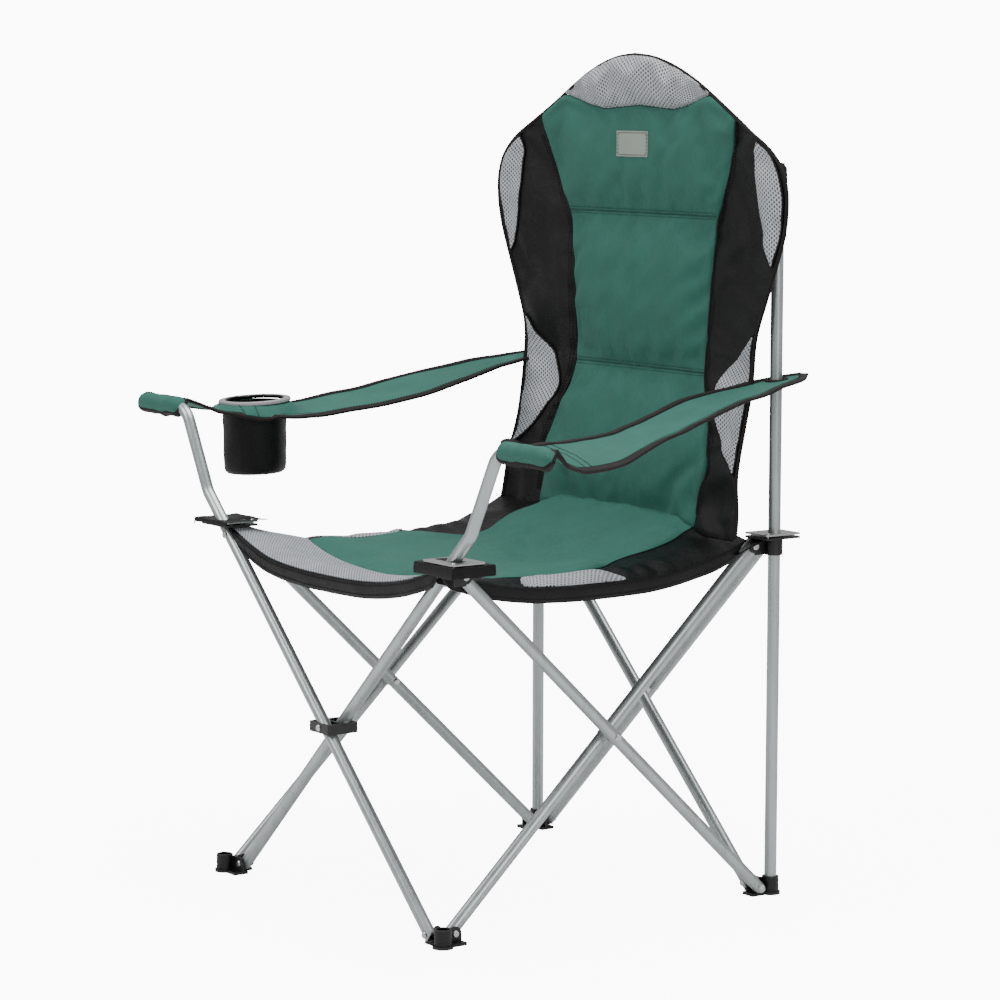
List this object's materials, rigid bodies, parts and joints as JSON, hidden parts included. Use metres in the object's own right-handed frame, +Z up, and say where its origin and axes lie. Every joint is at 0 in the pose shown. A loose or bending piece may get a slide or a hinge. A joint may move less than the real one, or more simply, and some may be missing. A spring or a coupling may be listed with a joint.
{
  "type": "folding camp chair",
  "caption": "Folding camp chair with a scissor-pole steel frame on sliding uprights, a slung fabric seat and tall back, fabric armrests and a cup holder.",
  "frame": {"origin": "on the floor, under the centre of the whole chair", "axes": "+Z up; the sitter faces -Y; +X is the sitter's left, the cup holder is on -X"},
  "size_m": [0.916, 0.576, 1.082],
  "materials": {
    "frame_steel": "satin silver-grey paint",
    "rivet_steel": "polished",
    "black_plastic": "satin moulded",
    "seat_fabric": "woven polyester",
    "back_fabric": "woven polyester",
    "arm_fabric": "woven polyester",
    "cup_ring_plastic": "gloss",
    "cup_pouch_fabric": "woven polyester"
  },
  "bodies": {
    "rear_right_frame": {"foot_rear_right": "black_plastic", "rivets_foot_rear_right": "rivet_steel", "upright_right": "frame_steel", "upright_cap_right": "black_plastic", "back_upper_right": "back_fabric"},
    "pole_right_outer": {"pole_right_outer": "frame_steel", "end_plugs_right_outer": "black_plastic", "crossing_joint_right": "rivet_steel"},
    "pole_right_inner": {"pole_right_inner": "frame_steel", "end_plugs_right_inner": "black_plastic"},
    "slider_right": {"slider_right": "black_plastic", "seat_plate_rear_right": "black_plastic", "fasteners_rear_right": "rivet_steel", "back_lower_right": "back_fabric"},
    "foot_front_right": {"foot_front_right": "black_plastic", "rivets_foot_front_right": "rivet_steel"},
    "corner_front_right": {"corner_front_right": "black_plastic", "seat_plate_front_right": "black_plastic", "fasteners_front_right": "rivet_steel"},
    "pole_rear_inner": {"pole_rear_inner": "frame_steel", "end_plugs_rear_inner": "black_plastic", "crossing_joint_rear": "rivet_steel"},
    "pole_rear_outer": {"pole_rear_outer": "frame_steel", "end_plugs_rear_outer": "black_plastic"},
    "slider_left": {"slider_left": "black_plastic", "seat_plate_rear_left": "black_plastic", "fasteners_rear_left": "rivet_steel", "back_lower_left": "back_fabric"},
    "rear_left_frame": {"foot_rear_left": "black_plastic", "rivets_foot_rear_left": "rivet_steel", "upright_left": "frame_steel", "upright_cap_left": "black_plastic", "back_upper_left": "back_fabric"},
    "pole_left_inner": {"pole_left_inner": "frame_steel", "end_plugs_left_inner": "black_plastic", "crossing_joint_left": "rivet_steel"},
    "pole_left_outer": {"pole_left_outer": "frame_steel", "end_plugs_left_outer": "black_plastic"},
    "foot_front_left": {"foot_front_left": "black_plastic", "rivets_foot_front_left": "rivet_steel"},
    "corner_front_left": {"corner_front_left": "black_plastic", "seat_plate_front_left": "black_plastic", "fasteners_front_left": "rivet_steel"},
    "front_post_left": {"front_post_left": "frame_steel", "post_plugs_left": "black_plastic"},
    "hub": {"hub": "black_plastic", "hub_rivet": "rivet_steel"},
    "front_post_right": {"front_post_right": "frame_steel", "post_plugs_right": "black_plastic"},
    "seat_front": {"seat_front": "seat_fabric"},
    "seat_right": {"seat_right": "seat_fabric"},
    "seat_rear": {"seat_rear": "seat_fabric"},
    "seat_left": {"seat_left": "seat_fabric"},
    "arm_front_right": {"arm_front_right": "arm_fabric"},
    "arm_front_left": {"arm_front_left": "arm_fabric", "cup_ring": "cup_ring_plastic", "cup_pouch": "cup_pouch_fabric"},
    "arm_rear_right": {"arm_rear_right": "arm_fabric"},
    "arm_rear_left": {"arm_rear_left": "arm_fabric"}
  },
  "joints": [
    {"name": "fold", "type": "hinge", "parent": "rear_right_frame", "child": "pole_right_outer", "pos_m": [0.261, 0.222, 0.013], "axis": [-1, 0, 0], "range_deg": [0, 38.5], "deforming": ["seat_front", "seat_right", "seat_rear", "seat_left", "back_upper_right", "back_upper_left", "back_lower_right", "back_lower_left", "arm_front_right", "arm_front_left", "arm_rear_right", "arm_rear_left", "cup_pouch"]},
    {"name": "right_crossing", "type": "hinge", "parent": "pole_right_outer", "child": "pole_right_inner", "pos_m": [0.25, -0.012, 0.2345], "axis": [1, 0, 0], "range_deg": [0, 77]},
    {"name": "slider_right_level", "type": "hinge", "parent": "pole_right_inner", "child": "slider_right", "pos_m": [0.239, 0.222, 0.456], "axis": [-1, 0, 0], "range_deg": [0, 38.5]},
    {"name": "foot_front_right_level", "type": "hinge", "parent": "pole_right_inner", "child": "foot_front_right", "pos_m": [0.239, -0.246, 0.013], "axis": [-1, 0, 0], "range_deg": [0, 38.5]},
    {"name": "corner_front_right_level", "type": "hinge", "parent": "pole_right_outer", "child": "corner_front_right", "pos_m": [0.261, -0.246, 0.456], "axis": [1, 0, 0], "range_deg": [0, 38.5]},
    {"name": "rear_inner_swing", "type": "hinge", "parent": "rear_right_frame", "child": "pole_rear_inner", "pos_m": [0.234, 0.227, 0.013], "axis": [0, 1, 0], "range_deg": [0, 38.5]},
    {"name": "rear_crossing", "type": "hinge", "parent": "pole_rear_inner", "child": "pole_rear_outer", "pos_m": [0, 0.238, 0.2345], "axis": [0, -1, 0], "range_deg": [0, 77]},
    {"name": "slider_left_level", "type": "hinge", "parent": "pole_rear_inner", "child": "slider_left", "pos_m": [-0.234, 0.227, 0.456], "axis": [0, -1, 0], "range_deg": [0, 38.5]},
    {"name": "rear_left_level", "type": "hinge", "parent": "pole_rear_outer", "child": "rear_left_frame", "pos_m": [-0.234, 0.249, 0.013], "axis": [0, 1, 0], "range_deg": [0, 38.5]},
    {"name": "left_inner_swing", "type": "hinge", "parent": "rear_left_frame", "child": "pole_left_inner", "pos_m": [-0.239, 0.222, 0.013], "axis": [-1, 0, 0], "range_deg": [0, 38.5]},
    {"name": "left_crossing", "type": "hinge", "parent": "pole_left_inner", "child": "pole_left_outer", "pos_m": [-0.25, -0.012, 0.2345], "axis": [1, 0, 0], "range_deg": [0, 77]},
    {"name": "foot_front_left_level", "type": "hinge", "parent": "pole_left_outer", "child": "foot_front_left", "pos_m": [-0.261, -0.246, 0.013], "axis": [-1, 0, 0], "range_deg": [0, 38.5]},
    {"name": "corner_front_left_level", "type": "hinge", "parent": "pole_left_inner", "child": "corner_front_left", "pos_m": [-0.239, -0.246, 0.456], "axis": [1, 0, 0], "range_deg": [0, 38.5]},
    {"name": "left_post_swing", "type": "hinge", "parent": "foot_front_right", "child": "front_post_left", "pos_m": [0.234, -0.273, 0.013], "axis": [0, 1, 0], "range_deg": [0, 38.5]},
    {"name": "hub_level", "type": "hinge", "parent": "front_post_left", "child": "hub", "pos_m": [0, -0.262, 0.2345], "axis": [0, -1, 0], "range_deg": [0, 38.5]},
    {"name": "front_crossing", "type": "hinge", "parent": "front_post_left", "child": "front_post_right", "pos_m": [0, -0.262, 0.2345], "axis": [0, -1, 0], "range_deg": [0, 77]},
    {"name": "seat_front_drop", "type": "hinge", "parent": "corner_front_right", "child": "seat_front", "pos_m": [0, -0.274, 0.452], "axis": [-1, 0, 0], "range_deg": [0, 70]},
    {"name": "seat_right_drop", "type": "hinge", "parent": "corner_front_right", "child": "seat_right", "pos_m": [0.256, -0.012, 0.452], "axis": [0, -1, 0], "range_deg": [0, 70]},
    {"name": "seat_rear_drop", "type": "hinge", "parent": "slider_right", "child": "seat_rear", "pos_m": [0, 0.194, 0.466], "axis": [1, 0, 0], "range_deg": [0, 63]},
    {"name": "seat_left_drop", "type": "hinge", "parent": "corner_front_left", "child": "seat_left", "pos_m": [-0.256, -0.012, 0.452], "axis": [0, 1, 0], "range_deg": [0, 70]},
    {"name": "arm_front_right_drop", "type": "hinge", "parent": "front_post_right", "child": "arm_front_right", "pos_m": [0.404, -0.251, 0.615], "axis": [-0.7006, 0.6409, -0.3136], "range_deg": [0, 148.46]},
    {"name": "arm_rear_right_drop", "type": "hinge", "parent": "slider_right", "child": "arm_rear_right", "pos_m": [0.27, 0.246, 0.664], "axis": [0.3997, 0.7473, 0.5309], "range_deg": [0, 100.96]},
    {"name": "arm_front_left_drop", "type": "hinge", "parent": "front_post_left", "child": "arm_front_left", "pos_m": [-0.404, -0.273, 0.615], "axis": [-0.7006, -0.6409, 0.3136], "range_deg": [0, 148.46]},
    {"name": "arm_rear_left_drop", "type": "hinge", "parent": "slider_left", "child": "arm_rear_left", "pos_m": [-0.27, 0.246, 0.664], "axis": [0.3997, -0.7473, -0.5309], "range_deg": [0, 100.96]}
  ],
  "couplings": [
    {"joint": "right_crossing", "follows": "fold", "ratio": 2},
    {"joint": "slider_right_level", "follows": "fold", "ratio": 1},
    {"joint": "foot_front_right_level", "follows": "fold", "ratio": 1},
    {"joint": "corner_front_right_level", "follows": "fold", "ratio": 1},
    {"joint": "rear_inner_swing", "follows": "fold", "ratio": 1},
    {"joint": "rear_crossing", "follows": "fold", "ratio": 2},
    {"joint": "slider_left_level", "follows": "fold", "ratio": 1},
    {"joint": "rear_left_level", "follows": "fold", "ratio": 1},
    {"joint": "left_inner_swing", "follows": "fold", "ratio": 1},
    {"joint": "left_crossing", "follows": "fold", "ratio": 2},
    {"joint": "foot_front_left_level", "follows": "fold", "ratio": 1},
    {"joint": "corner_front_left_level", "follows": "fold", "ratio": 1},
    {"joint": "left_post_swing", "follows": "fold", "ratio": 1},
    {"joint": "hub_level", "follows": "fold", "ratio": 1},
    {"joint": "front_crossing", "follows": "fold", "ratio": 2},
    {"joint": "seat_front_drop", "follows": "fold", "ratio": 1.8182},
    {"joint": "seat_right_drop", "follows": "fold", "ratio": 1.8182},
    {"joint": "seat_rear_drop", "follows": "fold", "ratio": 1.6364},
    {"joint": "seat_left_drop", "follows": "fold", "ratio": 1.8182},
    {"joint": "arm_front_right_drop", "follows": "fold", "ratio": 3.856},
    {"joint": "arm_rear_right_drop", "follows": "fold", "ratio": 2.6223},
    {"joint": "arm_front_left_drop", "follows": "fold", "ratio": 3.856},
    {"joint": "arm_rear_left_drop", "follows": "fold", "ratio": 2.6223}
  ]
}
